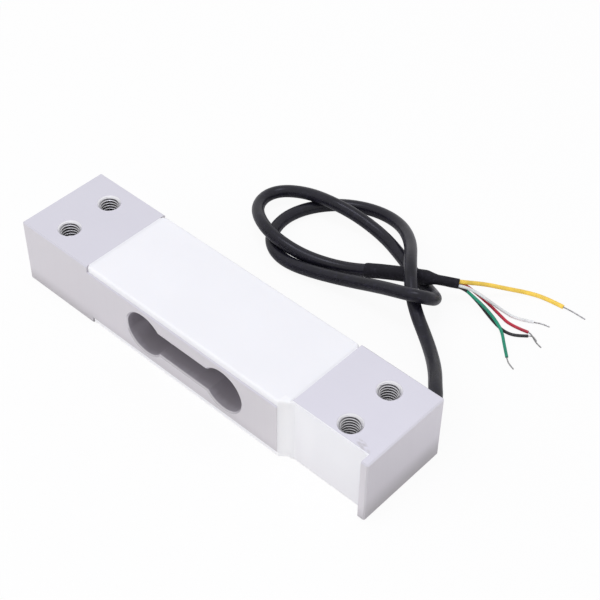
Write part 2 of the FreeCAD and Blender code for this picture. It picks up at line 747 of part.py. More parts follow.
def make_board():
    """The compensation board on the pocket's floor."""
    corner = (BOARD_LEFT, BOARD_FACE, BOARD_BOTTOM)
    edges = (S["board_length"], S["board_thickness"], BOARD_TOP - BOARD_BOTTOM)
    return make_box("compensation_board", corner, edges)


def make_resistors():
    """The board's zero and temperature trim chips in a row, and the larger span resistor."""
    bottom = BOARD_BOTTOM + S["trim_edge_distance"]
    left = BOARD_LEFT + S["trim_inset"]
    face = BOARD_FACE - S["trim_thickness"]
    chips = [
        make_box(f"trim_chip_{place + 1}", (left, face, bottom + S["trim_spacing"] * place),
                 (S["trim_length"], S["trim_thickness"], S["trim_height"]))
        for place in range(int(SIZES["trim_count"]))
    ]
    trims = doc.addObject("Part::Compound", "trim_resistors")
    trims.Label = "trim_resistors"
    trims.Links = chips
    span_left = left + S["trim_length"] + S["resistor_gap"]
    span = make_box("span_resistor", (span_left, face, bottom),
                    (S["span_length"], S["trim_thickness"], S["span_height"]))
    return [trims, span]


def make_cores():
    """The cable's four cores from the end of its jacket along the groove to the board."""
    land_x = BOARD_RIGHT - S["core_tail"]
    cores = []
    for place, colour in enumerate(("red", "black", "green", "white")):
        z = MID_HEIGHT + S["core_spacing"] * (place - 1.5)
        route = [
            (CABLE_X, JACKET_END, z), (CABLE_X, CORE_Y, z), (land_x, CORE_Y, z),
            (land_x, BOARD_FACE, z),
        ]
        cores.append(solid_tubes(f"core_{colour}", [route], S["core_diameter"], S["core_bend"]))
    return cores


def make_cylinder(label, diameter, length, start):
    """A round piece that runs along +Y from a point."""
    piece = doc.addObject("Part::Cylinder", label)
    piece.Label = label
    piece.Placement = FreeCAD.Placement(Vector(), FreeCAD.Rotation(Vector(1, 0, 0), -90))
    bind(piece, "Radius", diameter / 2)
    bind(piece, "Height", length)
    for axis, size in zip("xyz", start):
        bind(piece, f"Placement.Base.{axis}", size)
    return piece


def make_cable_inlet():
    """The jacket inside the beam's cable hole and the ring of potting round it."""
    start = (CABLE_X, JACKET_END, MID_HEIGHT)
    length = HALF_WIDTH - JACKET_END
    jacket = make_cylinder("cable_entry", S["cable_diameter"], length, start)
    filler = make_cylinder("potting_blank", S["cable_hole_diameter"], length, start)
    hollow = make_cylinder("potting_hollow", S["cable_diameter"], length, start)
    ring = doc.addObject("Part::Cut", "cable_potting")
    ring.Label = "cable_potting"
    ring.Base = filler
    ring.Tool = hollow
    return [jacket, ring]


def make_cable():
    """The free cable, with a report of its length and its bends."""
    points = vectors(CABLE_ROUTE)
    diameter = SIZES["cable_diameter"]
    radii = [corner_radius(*trio) for trio in zip(points, points[1:], points[2:])]
    length = route_wire(points).Length
    print(f"signal_cable length {length:.1f} mm, bend radii {[round(radius, 1) for radius in radii]}")
    return set_shape("signal_cable", tube(points, diameter))


def make_sleeve():
    """The shrink sleeve: a sheath over the end of the jacket that tapers to an open mouth."""
    bend = vectors(CABLE_ROUTE[-3:])
    start = bend[0] + (bend[1] - bend[0]) * SLEEVE_START
    radii = [corner_radius(*bend)]
    jacket_end = bend[2]
    mouth = Vector(*SLEEVE_END)
    axis = mouth - jacket_end
    bore_diameter = SIZES["cable_diameter"] + 2 * SIZES["sleeve_gap"]
    outer_diameter = bore_diameter + 2 * SIZES["sleeve_wall"]
    neck_radius = SIZES["sleeve_end_diameter"] / 2
    path = [start, bend[1], jacket_end]
    sheath = tube(path, outer_diameter, radii)
    bore = tube(path, bore_diameter, radii)
    joint = Part.makeSphere(outer_diameter / 2, jacket_end)
    taper = Part.makeCone(
        outer_diameter / 2, neck_radius, SIZES["sleeve_taper_length"], jacket_end, axis)
    neck = Part.makeCylinder(neck_radius, axis.Length, jacket_end, axis)
    opening = Part.makeCylinder(
        SIZES["sleeve_mouth_diameter"] / 2, SIZES["sleeve_mouth_depth"], mouth, -axis)
    return set_shape("shrink_sleeve", sheath.fuse([joint, taper, neck]).cut([bore, opening]))


def make_leads():
    """The five leads that fan out of the sleeve, and the bare wire at the end of each."""
    pieces = []
    for colour, route in LEAD_ROUTES.items():
        size = "drain_lead_diameter" if colour == "yellow" else "lead_diameter"
        points = vectors(route)
        pieces.append(set_shape(f"lead_{colour}", tube(points, SIZES[size])))
        print(f"lead_{colour} length {route_wire(points).Length:.1f} mm")
        bare = vectors(WIRE_END_ROUTES[colour])
        pieces.append(set_shape(f"wire_end_{colour}", tube(bare, SIZES["wire_end_diameter"])))
    return pieces


def make_pieces():
    """Every sub-part of the load cell."""
    top_seal = make_top_seal()
    return [
        make_beam(),
        top_seal,
        mirror("bottom_seal", top_seal, "z", MID_HEIGHT),
        make_side_seal(),
        *make_gauge_films(),
        *make_gauge_grids(),
        *make_gauge_wires(),
        make_board(),
        *make_resistors(),
        *make_cores(),
        *make_cable_inlet(),
        make_cable(),
        make_sleeve(),
        *make_leads(),
    ]


def check(pieces):
    """Stop where an object failed or a sub-part has no sound solid."""
    for item in doc.Objects:
        if {"Invalid", "Error"} & set(item.State):
            raise RuntimeError(f"{item.Label} failed: {item.State}")
    for piece in pieces:
        shape = piece.Shape
        if shape.isNull() or not shape.isValid() or not shape.Solids:
            raise RuntimeError(f"{piece.Label} has no sound shape")
        print(f"{piece.Label}: {len(shape.Solids)} solid(s), {shape.Volume:.2f} mm3")


def write(pieces):
    """Write each sub-part to a file of its own."""
    os.makedirs("parts", exist_ok=True)
    for piece in pieces:
        piece.Shape.exportStep(os.path.join("parts", f"{piece.Label}.step"))


PIECES = make_pieces()
doc.recompute()
check(PIECES)
write(PIECES)
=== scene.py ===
"""Looks of the parallel beam load cell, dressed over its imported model.

Everything is in metres, in the frame of the model: +X runs along the beam to the cable end, +Y to
the face that the cable leaves, +Z up, and the beam stands on z = 0.
"""
from __future__ import annotations

import logging
import math
from dataclasses import dataclass
from enum import Enum
from typing import Callable, ClassVar, Iterable, Sequence

import bmesh
import bpy
from mathutils import Matrix, Vector, noise

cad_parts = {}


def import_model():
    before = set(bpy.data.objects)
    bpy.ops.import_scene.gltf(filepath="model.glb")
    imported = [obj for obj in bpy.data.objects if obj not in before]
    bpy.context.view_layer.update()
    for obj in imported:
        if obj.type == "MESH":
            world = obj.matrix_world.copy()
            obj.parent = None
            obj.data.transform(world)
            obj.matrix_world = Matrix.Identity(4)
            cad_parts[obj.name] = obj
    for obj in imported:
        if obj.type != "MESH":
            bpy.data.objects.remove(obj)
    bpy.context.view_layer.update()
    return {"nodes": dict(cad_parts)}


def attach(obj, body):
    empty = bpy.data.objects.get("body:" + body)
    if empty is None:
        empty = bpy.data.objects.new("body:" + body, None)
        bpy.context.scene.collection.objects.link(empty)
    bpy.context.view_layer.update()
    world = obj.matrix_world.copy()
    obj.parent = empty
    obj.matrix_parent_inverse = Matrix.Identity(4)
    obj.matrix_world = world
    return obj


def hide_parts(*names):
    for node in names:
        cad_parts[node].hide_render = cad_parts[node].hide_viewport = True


LOG = logging.getLogger("load_cell")
BODY = "root"
NOISE_MIDDLE = 0.5

Point = tuple[float, float, float]
Object = bpy.types.Object


@dataclass(frozen=True)
class BlockSize:
    """The aluminium block's sizes that its finish, its threads and its strip share."""

    height: float = 0.022
    half_height: float = 0.011
    hole_x: float = 0.053
    hole_y: float = 0.0075


BLOCK = BlockSize()


class LeadColour(Enum):
    """The cable's cores and the leads at its end."""

    RED = "red"
    BLACK = "black"
    GREEN = "green"
    WHITE = "white"
    YELLOW = "yellow"


CABLE_ROUTE: tuple[Point, ...] = (
    (0.059, 0.015, 0.011), (0.059, 0.019, 0.011), (0.0574, 0.0223, 0.0108),
    (0.0548, 0.0253, 0.0103), (0.0508, 0.0305, 0.0086), (0.0453, 0.0364, 0.006),
    (0.0386, 0.0421, 0.0045), (0.0315, 0.0464, 0.006), (0.026, 0.0503, 0.009),
    (0.0202, 0.0569, 0.0112), (0.0114, 0.0685, 0.0068), (0.0012, 0.0757, 0.0034),
    (-0.0097, 0.0761, 0.002), (-0.019, 0.0708, 0.002), (-0.0251, 0.0626, 0.002),
    (-0.0272, 0.0539, 0.002), (-0.0248, 0.0455, 0.002), (-0.0191, 0.041, 0.002),
    (-0.012, 0.0399, 0.0022), (-0.003, 0.0417, 0.003), (0.008, 0.0441, 0.0052),
    (0.0191, 0.0453, 0.0092), (0.0274, 0.0455, 0.0122), (0.0322, 0.0477, 0.0122),
    (0.0333, 0.0518, 0.0092), (0.0309, 0.056, 0.005), (0.0262, 0.0596, 0.002),
    (0.019, 0.0618, 0.002), (0.011, 0.0653, 0.002), (0.0016, 0.0683, 0.0025),
    (-0.0085, 0.0679, 0.0048), (-0.0168, 0.0656, 0.0069), (-0.0265, 0.065, 0.0056),
    (-0.0346, 0.0617, 0.0042), (-0.0371, 0.056, 0.004), (-0.0342, 0.0491, 0.0048),
    (-0.026, 0.0436, 0.0065), (-0.0172, 0.0422, 0.0058), (-0.0081, 0.0447, 0.0034),
    (0.0028, 0.0496, 0.0026), (0.0134, 0.055, 0.005), (0.02476, 0.05941, 0.0068),
)

LEAD_ROUTES: dict[LeadColour, tuple[Point, ...]] = {
    LeadColour.YELLOW: (
        (0.03106, 0.06342, 0.00687), (0.03392, 0.06557, 0.0066), (0.03775, 0.07047, 0.005),
        (0.04205, 0.07559, 0.0024), (0.04698, 0.07983, 0.001), (0.05197, 0.08182, 0.0007),
        (0.05785, 0.08228, 0.0007),
    ),
    LeadColour.GREEN: (
        (0.03083, 0.06362, 0.00549), (0.03386, 0.06508, 0.0048), (0.03848, 0.06524, 0.0034),
        (0.04225, 0.06529, 0.002), (0.04658, 0.06403, 0.0015), (0.05096, 0.06163, 0.0014),
        (0.05424, 0.0584, 0.0007), (0.05768, 0.05508, 0.0005),
    ),
    LeadColour.BLACK: (
        (0.03126, 0.06293, 0.00549), (0.03415, 0.06492, 0.00523), (0.03899, 0.06584, 0.002),
        (0.04381, 0.06478, 0.0005), (0.04828, 0.06315, 0.0005), (0.05162, 0.06263, 0.0005),
        (0.0546, 0.06352, 0.0005), (0.05719, 0.0659, 0.0005),
    ),
    LeadColour.WHITE: (
        (0.03155, 0.0626, 0.00623), (0.03427, 0.06449, 0.0061), (0.03785, 0.06649, 0.0046),
        (0.04188, 0.06756, 0.0028), (0.04622, 0.06855, 0.0012), (0.0504, 0.06896, 0.0005),
        (0.05515, 0.07154, 0.0005),
    ),
    LeadColour.RED: (
        (0.03061, 0.06408, 0.00623), (0.03347, 0.06571, 0.0058), (0.03696, 0.06783, 0.0026),
        (0.04131, 0.06832, 0.0008), (0.04585, 0.06725, 0.0005), (0.05093, 0.06581, 0.0005),
        (0.05641, 0.06705, 0.0006),
    ),
}

WIRE_END_ROUTES: dict[LeadColour, tuple[Point, ...]] = {
    LeadColour.YELLOW: (
        (0.05785, 0.08228, 0.0007), (0.0599, 0.08248, 0.0007), (0.0623, 0.08272, 0.0005),
        (0.06523, 0.0828, 0.0003),
    ),
    LeadColour.GREEN: (
        (0.05767, 0.05507, 0.0005), (0.05845, 0.05431, 0.000454), (0.05965, 0.05348, 0.0003),
        (0.06174, 0.05279, 0.0003),
    ),
    LeadColour.BLACK: (
        (0.05719, 0.0659, 0.0005), (0.05778, 0.06645, 0.0005), (0.05883, 0.06623, 0.001),
        (0.06049, 0.0653, 0.0011),
    ),
    LeadColour.WHITE: (
        (0.05516, 0.07152, 0.0005), (0.05599, 0.07183, 0.0005), (0.05714, 0.07271, 0.0004),
        (0.05952, 0.0732, 0.0003),
    ),
    LeadColour.RED: (
        (0.05641, 0.06705, 0.0006), (0.05734, 0.06708, 0.00062), (0.05874, 0.06634, 0.0004),
        (0.06048, 0.06531, 0.0003), (0.06252, 0.06487, 0.0003),
    ),
}


@dataclass(frozen=True)
class Colour:
    """A display colour, 0 to 255 in each channel."""

    red: float
    green: float
    blue: float

    def linear(self) -> tuple[float, float, float, float]:
        """The colour as a shader takes it, by the standard sRGB curve."""
        channels = []
        for value in (self.red, self.green, self.blue):
            share = value / 255
            channels.append(share / 12.92 if share <= 0.04045 else ((share + 0.055) / 1.055) ** 2.4)
        return (*channels, 1.0)

    def scaled(self, factor: float) -> "Colour":
        """The colour made lighter or darker."""
        return Colour(self.red * factor, self.green * factor, self.blue * factor)


@dataclass(frozen=True)
class Ramp:
    """The two values between which something changes smoothly."""

    low: float
    high: float

    def squared(self) -> "Ramp":
        """The ramp for a distance that is left squared."""
        return Ramp(self.low ** 2, self.high ** 2)


PURE_WHITE = Colour(255, 255, 255)
MOST_NOISE = Ramp(0.2, 0.8)


class Operation(Enum):
    """What a Math node does."""

    ADD = "ADD"
    SUBTRACT = "SUBTRACT"
    MULTIPLY = "MULTIPLY"
    DIVIDE = "DIVIDE"
    ABSOLUTE = "ABSOLUTE"
    MAXIMUM = "MAXIMUM"


class Ray(Enum):
    """The kinds of ray that the table and the sky tell apart."""

    CAMERA = "Is Camera Ray"
    GLOSSY = "Is Glossy Ray"
    TRANSMISSION = "Is Transmission Ray"


class Signal:
    """A socket of a shader that adds and multiplies like a number."""

    def __init__(self, graph: "Graph", socket: bpy.types.NodeSocket) -> None:
        """Wrap an output socket of a node tree."""
        self.graph = graph
        self.socket = socket

    def __add__(self, other: "Signal | float") -> "Signal":
        """The sum."""
        return self.graph.math(Operation.ADD, self, other)

    __radd__ = __add__

    def __sub__(self, other: "Signal | float") -> "Signal":
        """The difference."""
        return self.graph.math(Operation.SUBTRACT, self, other)

    def __rsub__(self, other: float) -> "Signal":
        """The difference with a number in front."""
        return self.graph.math(Operation.SUBTRACT, other, self)

    def __mul__(self, other: "Signal | float") -> "Signal":
        """The product."""
        return self.graph.math(Operation.MULTIPLY, self, other)

    __rmul__ = __mul__

    def __truediv__(self, other: "Signal | float") -> "Signal":
        """The quotient."""
        return self.graph.math(Operation.DIVIDE, self, other)

    def __rtruediv__(self, other: float) -> "Signal":
        """The quotient with a number in front."""
        return self.graph.math(Operation.DIVIDE, other, self)

    def __abs__(self) -> "Signal":
        """The value without its sign."""
        return self.graph.math(Operation.ABSOLUTE, self)


Value = Signal | Colour | float | tuple[float, ...]
Inputs = dict[str | int, Value]
Settings = dict[str, object]


class Graph:
    """The node tree of one material or of the world."""

    def __init__(self, tree: bpy.types.NodeTree) -> None:
        """Take over a node tree and empty it."""
        self.tree = tree
        self.tree.nodes.clear()

    @classmethod
    def for_material(cls, name: str) -> tuple[bpy.types.Material, "Graph"]:
        """Start a material: the material and its empty tree."""
        material = bpy.data.materials.new(name)
        material.use_nodes = True
        return material, cls(material.node_tree)

    def feed(self, socket: bpy.types.NodeSocket, value: Value) -> None:
        """Link a signal to an input socket, or set the socket's own value."""
        if isinstance(value, Signal):
            self.tree.links.new(value.socket, socket)
        else:
            socket.default_value = value.linear() if isinstance(value, Colour) else value

    def make(
        self, kind: str, settings: Settings | None = None, inputs: Inputs | None = None,
    ) -> bpy.types.ShaderNode:
        """Add a node of any type.

        Args:
            kind: The node's type without its ShaderNode prefix.
            settings: Properties of the node.
            inputs: What goes into its sockets, by name or number.

        Returns:
            The node.
        """
        made = self.tree.nodes.new(f"ShaderNode{kind}")
        for name, setting in (settings or {}).items():
            setattr(made, name, setting)
        for name, value in (inputs or {}).items():
            self.feed(made.inputs[name], value)
        return made

    def node(
        self, kind: str, settings: Settings | None = None, inputs: Inputs | None = None,
        output: str | int = 0,
    ) -> Signal:
        """Add a node and take one of its outputs, by name or number."""
        return Signal(self, self.make(kind, settings, inputs).outputs[output])

    def math(self, operation: Operation, *values: Value) -> Signal:
        """Add a Math node that works on the values."""
        return self.node("Math", {"operation": operation.value}, dict(enumerate(values)))

    def place(self) -> Signal:
        """The point on the surface, in the model's frame."""
        return self.node("TexCoord", output="Object")

    def axes(self, vector: Signal) -> tuple[Signal, Signal, Signal]:
        """The three parts of a vector."""
        split = self.make("SeparateXYZ", inputs={0: vector})
        x, y, z = (Signal(self, socket) for socket in split.outputs)
        return x, y, z

    def cloud(self, vector: Signal, scale: float, detail: float = 2.0, rough: float = 0.5) -> Signal:
        """Noise from 0 to 1, its scale given as features to the metre."""
        inputs: Inputs = {"Vector": vector, "Scale": scale, "Detail": detail, "Roughness": rough}
        return self.node("TexNoise", inputs=inputs)

    def streaks(self, vector: Signal, scales: Point, detail: float = 2.0, rough: float = 0.5) -> Signal:
        """The same noise drawn out, with its own features to the metre along x, y and z."""
        drawn = self.node("VectorMath", {"operation": "MULTIPLY"}, {0: vector, 1: scales})
        return self.cloud(drawn, 1.0, detail, rough)

    def rise(self, value: Signal, ramp: Ramp, start: float = 0.0, stop: float = 1.0) -> Signal:
        """A smooth change while the value passes over a ramp.

        Args:
            value: What passes over the ramp.
            ramp: Where the change starts and ends.
            start: The result below the ramp.
            stop: The result above it.

        Returns:
            The changing result.
        """
        return self.node(
            "MapRange", {"interpolation_type": "SMOOTHSTEP"},
            {"Value": value, "From Min": ramp.low, "From Max": ramp.high, "To Min": start, "To Max": stop})

    def fall(self, value: Signal, ramp: Ramp) -> Signal:
        """1 below a ramp and 0 above it."""
        return self.rise(value, ramp, 1.0, 0.0)

    def spread(self, value: Signal, ramp: Ramp, middle: float, change: Ramp) -> Signal:
        """A measure that is changed by as much as the change says at each end of a ramp."""
        return self.rise(value, ramp, middle + change.low, middle + change.high)

    def blend(self, factor: Signal, first: Value, second: Value) -> Signal:
        """One colour giving way to another while the factor goes from 0 to 1."""
        return self.node("Mix", {"data_type": "RGBA"}, {0: factor, 6: first, 7: second}, output=2)

    def bump(self, height: Signal, distance: float, strength: float = 1.0) -> Signal:
        """The normal of a relief, in which a height of 1 stands a distance high, in metres."""
        inputs: Inputs = {"Height": height, "Distance": distance, "Strength": strength}
        return self.node("Bump", inputs=inputs)

    def principled(self, **inputs: Value) -> Signal:
        """The surface shader; underscores stand for spaces in its sockets' names."""
        named = {name.replace("_", " "): value for name, value in inputs.items()}
        return self.node("BsdfPrincipled", inputs=named)

    def close(self, surface: Signal) -> None:
        """Send a shader to the output."""
        kind = "OutputWorld" if isinstance(self.tree.id_data, bpy.types.World) else "OutputMaterial"
        self.make(kind, inputs={"Surface": surface})


@dataclass(frozen=True)
class Finish:
    """A finish by its name; each kind builds its own material."""

    name: str
    colour: Colour

    def surface(self, graph: Graph) -> Signal:
        """The shader of the finish."""
        raise NotImplementedError

    def material(self) -> bpy.types.Material:
        """The finish as a material, made once."""
        found = bpy.data.materials.get(self.name)
        if found:
            return found
        made, graph = Graph.for_material(self.name)
        graph.close(self.surface(graph))
        made.diffuse_color = self.colour.linear()
        return made


@dataclass(frozen=True)
class BlockPlace:
    """Where a shaded point lies on the block."""

    x: Signal
    y: Signal
    z: Signal
    along: Signal
    across: Signal
    level: Signal

    @classmethod
    def read(cls, graph: Graph, place: Signal) -> "BlockPlace":
        """Split a point into its parts and its distances from the block's middle."""
        x, y, z = graph.axes(place)
        return cls(x, y, z, abs(x), abs(y), abs(z - BLOCK.half_height))

    def from_hole(self) -> Signal:
        """The squared distance from the axis of the nearest tapped hole."""
        from_x = self.along - BLOCK.hole_x
        from_y = self.across - BLOCK.hole_y
        return from_x * from_x + from_y * from_y


@dataclass(frozen=True)
class BlockZones:
    """Where the block's shades change, in metres from its middle or from the table."""

    end_face: Ramp = Ramp(0.0645, 0.0648)
    # Painted shade across the end faces, darkest at their near edge.
    end_shade_depth: Ramp = Ramp(-0.018, 0.015)
    middle_start: Ramp = Ramp(-0.030, 0.020)
    middle_stop: Ramp = Ramp(0.034, 0.046)
    # Painted shade: where the upright faces darken towards the table, lifted higher on the ends.
    foot: Ramp = Ramp(-0.001, 0.006)
    end_foot_shade_lift: float = 0.0033
    rim_across: Ramp = Ramp(0.01456, 0.01460)
    rim_along: Ramp = Ramp(0.0229, 0.0231)
    rim_level: Ramp = Ramp(0.0081, 0.0083)
    bore_across: Ramp = Ramp(0.01455, 0.01480)
    bore_along: Ramp = Ramp(0.0221, 0.0224)
    bore_level: Ramp = Ramp(0.00695, 0.0072)
    # Painted shade deeper in the bore and painted light at its mouth, by the distance from the middle plane.
    bore_deep_shade: Ramp = Ramp(0.0070, 0.0125)
    bore_mouth_light: Ramp = Ramp(0.0125, 0.0148)
    cone_level: Ramp = Ramp(0.01085, 0.01095)
    cone_reach: Ramp = Ramp(0.00352, 0.00356)
    hole_level: Ramp = Ramp(0.0099, 0.0105)
    hole_reach: Ramp = Ramp(0.00304, 0.00308)
    crest_reach: Ramp = Ramp(0.00254, 0.00272)
    top: Ramp = Ramp(0.0215, 0.0219)


@dataclass(frozen=True)
class Haze:
    """A thin, patchy trace of silicone wiped slantwise over a pad."""

    x: float = 0.0599
    y: float = -0.0109
    slope: float = 0.34
    drawn_out: float = 2.6
    half_width: float = 0.0014
    scales: Point = (420.0, 1100.0, 420.0)
    patches: Ramp = Ramp(0.38, 0.58)

    def cover(self, graph: Graph, place: Signal, spot: BlockPlace) -> Signal:
        """How thickly the trace covers a point, from 0 to 1."""
        from_x = spot.x - self.x
        along = from_x / self.drawn_out
        across = spot.y - self.y + from_x * self.slope
        reach = along * along + across * across
        patches = graph.streaks(place, self.scales, 3.0, 0.6)
        return graph.fall(reach, Ramp(0.0, self.half_width ** 2)) * graph.rise(patches, self.patches)


@dataclass(frozen=True)
class MachinedAluminium(Finish):
    """Clear anodised, finely milled aluminium; the bore is darker, partly its dull cut wall and partly
    painted shade, and the tapped holes' thread valleys are painted shade.
    """

    zones: BlockZones = BlockZones()
    haze: Haze = Haze()
    # Painted light: the upright faces are coloured lighter than the level faces (self.colour).
    side_light_colour: Colour = Colour(219, 216, 219)
    middle_light_colour: Colour = Colour(220, 217, 219)
    # Painted shade: the upright faces darker towards their foot.
    foot_shade_colour: Colour = Colour(196, 193, 196)
    # Painted shade: the end faces darker than the sides, darkest at their near edge.
    end_shade_near_colour: Colour = Colour(208, 205, 209)
    end_shade_far_colour: Colour = Colour(220, 217, 222)
    rim_colour: Colour = Colour(190, 187, 191)
    # The bore's wall colour is partly its dull cut finish and partly painted shade; painted shade deeper in,
    # painted light at the mouth.
    bore_colour: Colour = Colour(180, 175, 183)
    bore_mouth_light_colour: Colour = Colour(206, 202, 209)
    bore_deep_shade_colour: Colour = Colour(178, 173, 180)
    cone_colour: Colour = Colour(233, 232, 236)
    crest_colour: Colour = Colour(232, 231, 234)
    # Painted shade: the tapped holes' thread valleys painted dark.
    valley_shade_colour: Colour = Colour(80, 78, 82)
    haze_colour: Colour = Colour(196, 193, 198)
    roughness: float = 0.40
    face_tilt: Ramp = Ramp(0.3, 0.7)
    rim_tilt: Ramp = Ramp(0.15, 0.3)
    grain_scale: float = 2600.0
    cloud_scale: float = 90.0
    streak_scales: Point = (1500.0, 1500.0, 45.0)
    mill_scales: Point = (160.0, 3200.0, 160.0)
    wire_cut_scales: Point = (650.0, 14.0, 650.0)
    grain_weight: float = 0.08
    cloud_weight: float = 0.07
    streak_weight: float = 0.16
    mill_weight: float = 0.04
    lightened: Ramp = Ramp(-0.12, 0.12)
    lightest: float = 0.12
    worn: Ramp = Ramp(-0.1, 0.1)
    worn_roughness: Ramp = Ramp(-0.04, 0.06)
    ragged_cut: float = 0.0022
    ragged_cloud: float = 0.004
    bore_dullness: float = 0.45
    haze_dullness: float = 0.6
    grain_relief: float = 0.5
    line_relief: float = 3.0
    cut_relief: float = 2.5
    haze_relief: float = 3.0
    relief: float = 0.00003

    def surface(self, graph: Graph) -> Signal:
        """The shader: the outer faces, with the bore, the holes and the haze laid over them."""
        place = graph.place()
        spot = BlockPlace.read(graph, place)
        tilt = abs(graph.axes(graph.node("NewGeometry", output="Normal"))[2])
        upright = 1 - graph.rise(tilt, self.face_tilt)
        grain = graph.cloud(place, self.grain_scale, 3.0, 0.6)
        cloud = graph.cloud(place, self.cloud_scale, 3.0)
        streaks = graph.streaks(place, self.streak_scales)
        mill = graph.streaks(place, self.mill_scales)
        wire_cut = graph.streaks(place, self.wire_cut_scales, 3.0)
        lines = upright * (streaks - NOISE_MIDDLE) * self.streak_weight
        lines = lines + (1 - upright) * (mill - NOISE_MIDDLE) * self.mill_weight
        shade = (grain - NOISE_MIDDLE) * self.grain_weight + lines
        shade = shade + (cloud - NOISE_MIDDLE) * self.cloud_weight
        bore = self.inside_bore(graph, spot)
        hole, crest = self.inside_holes(graph, spot)
        # Painted light and shade: upright faces take the lighter colours of sides(), with painted shade on
        # the ends and towards the foot.
        plain = graph.blend(upright, self.colour, self.sides(graph, spot))
        base = graph.blend(graph.rise(shade, self.lightened, 0.0, self.lightest), plain, PURE_WHITE)
        rim = self.bore_rim(graph, spot) * graph.rise(tilt, self.rim_tilt)
        base = graph.blend(rim, base, self.rim_colour)
        base = graph.blend(self.countersinks(graph, spot), base, self.cone_colour)
        inward = spot.across + (wire_cut - NOISE_MIDDLE) * self.ragged_cut
        inward = inward + (cloud - NOISE_MIDDLE) * self.ragged_cloud
        # The bore walls, with painted shade deeper in and painted light at the mouth.
        base = graph.blend(bore, base, self.bore_walls(graph, inward))
        # Painted shade: the thread valleys in the tapped holes painted dark against the bright cut crests.
        base = graph.blend(hole, base, graph.blend(crest, self.valley_shade_colour, self.crest_colour))
        haze = self.haze.cover(graph, place, spot) * graph.rise(spot.z, self.zones.top)
        height = (grain * self.grain_relief + lines * self.line_relief) * (1 - bore)
        height = height + wire_cut * bore * self.cut_relief + haze * self.haze_relief
        return graph.principled(
            Base_Color=graph.blend(haze, base, self.haze_colour),
            Metallic=1 - bore * self.bore_dullness - haze * self.haze_dullness,
            Roughness=graph.spread(shade, self.worn, self.roughness, self.worn_roughness),
            Normal=graph.bump(height, self.relief, 0.6))

    def sides(self, graph: Graph, spot: BlockPlace) -> Signal:
        """The colour of the upright faces: two sides and two ends, lighter than the level faces as painted
        light; painted shade darkens the ends, most at their near edge, and every face towards its foot.
        """
        zones = self.zones
        middle = graph.rise(spot.x, zones.middle_start) * graph.fall(spot.x, zones.middle_stop)
        side = graph.blend(middle, self.side_light_colour, self.middle_light_colour)
        # Painted shade on the end faces, darker towards their near edge.
        end = graph.blend(graph.rise(spot.y, zones.end_shade_depth), self.end_shade_near_colour, self.end_shade_far_colour)
        at_end = graph.rise(spot.along, zones.end_face)
        side = graph.blend(at_end, side, end)
        # Painted shade: the upright faces darker towards the table, higher up on the ends.
        foot = graph.fall(spot.z - at_end * zones.end_foot_shade_lift, zones.foot)
        return graph.blend(foot, side, self.foot_shade_colour)

    def bore_walls(self, graph: Graph, inward: Signal) -> Signal:
        """The colour of the bore's walls, by the distance from the block's middle plane: painted shade deeper
        in, painted light at the mouth.
        """
        walls = graph.blend(graph.rise(inward, self.zones.bore_deep_shade), self.bore_deep_shade_colour, self.bore_colour)
        return graph.blend(graph.rise(inward, self.zones.bore_mouth_light), walls, self.bore_mouth_light_colour)

    def bore_rim(self, graph: Graph, spot: BlockPlace) -> Signal:
        """1 round the broken edges of the binocular bore, 0 elsewhere."""
        across = graph.rise(spot.across, self.zones.rim_across)
        along = graph.fall(spot.along, self.zones.rim_along)
        return across * along * graph.fall(spot.level, self.zones.rim_level)

    def countersinks(self, graph: Graph, spot: BlockPlace) -> Signal:
        """1 on the cones at the mouths of the tapped holes, freshly cut and bright."""
        shallow = graph.fall(spot.level, self.zones.cone_level)
        return shallow * graph.fall(spot.from_hole(), self.zones.cone_reach.squared())

    def inside_bore(self, graph: Graph, spot: BlockPlace) -> Signal:
        """1 on the walls of the binocular bore, 0 elsewhere."""
        across = graph.fall(spot.across, self.zones.bore_across)
        along = graph.fall(spot.along, self.zones.bore_along)
        return across * along * graph.fall(spot.level, self.zones.bore_level)

    def inside_holes(self, graph: Graph, spot: BlockPlace) -> tuple[Signal, Signal]:
        """1 below the countersinks of the tapped holes, and there 1 on the crests of their threads."""
        reach = spot.from_hole()
        deep = graph.fall(spot.level, self.zones.hole_level)
        inside = graph.fall(reach, self.zones.hole_reach.squared())
        return deep * inside, graph.fall(reach, self.zones.crest_reach.squared())


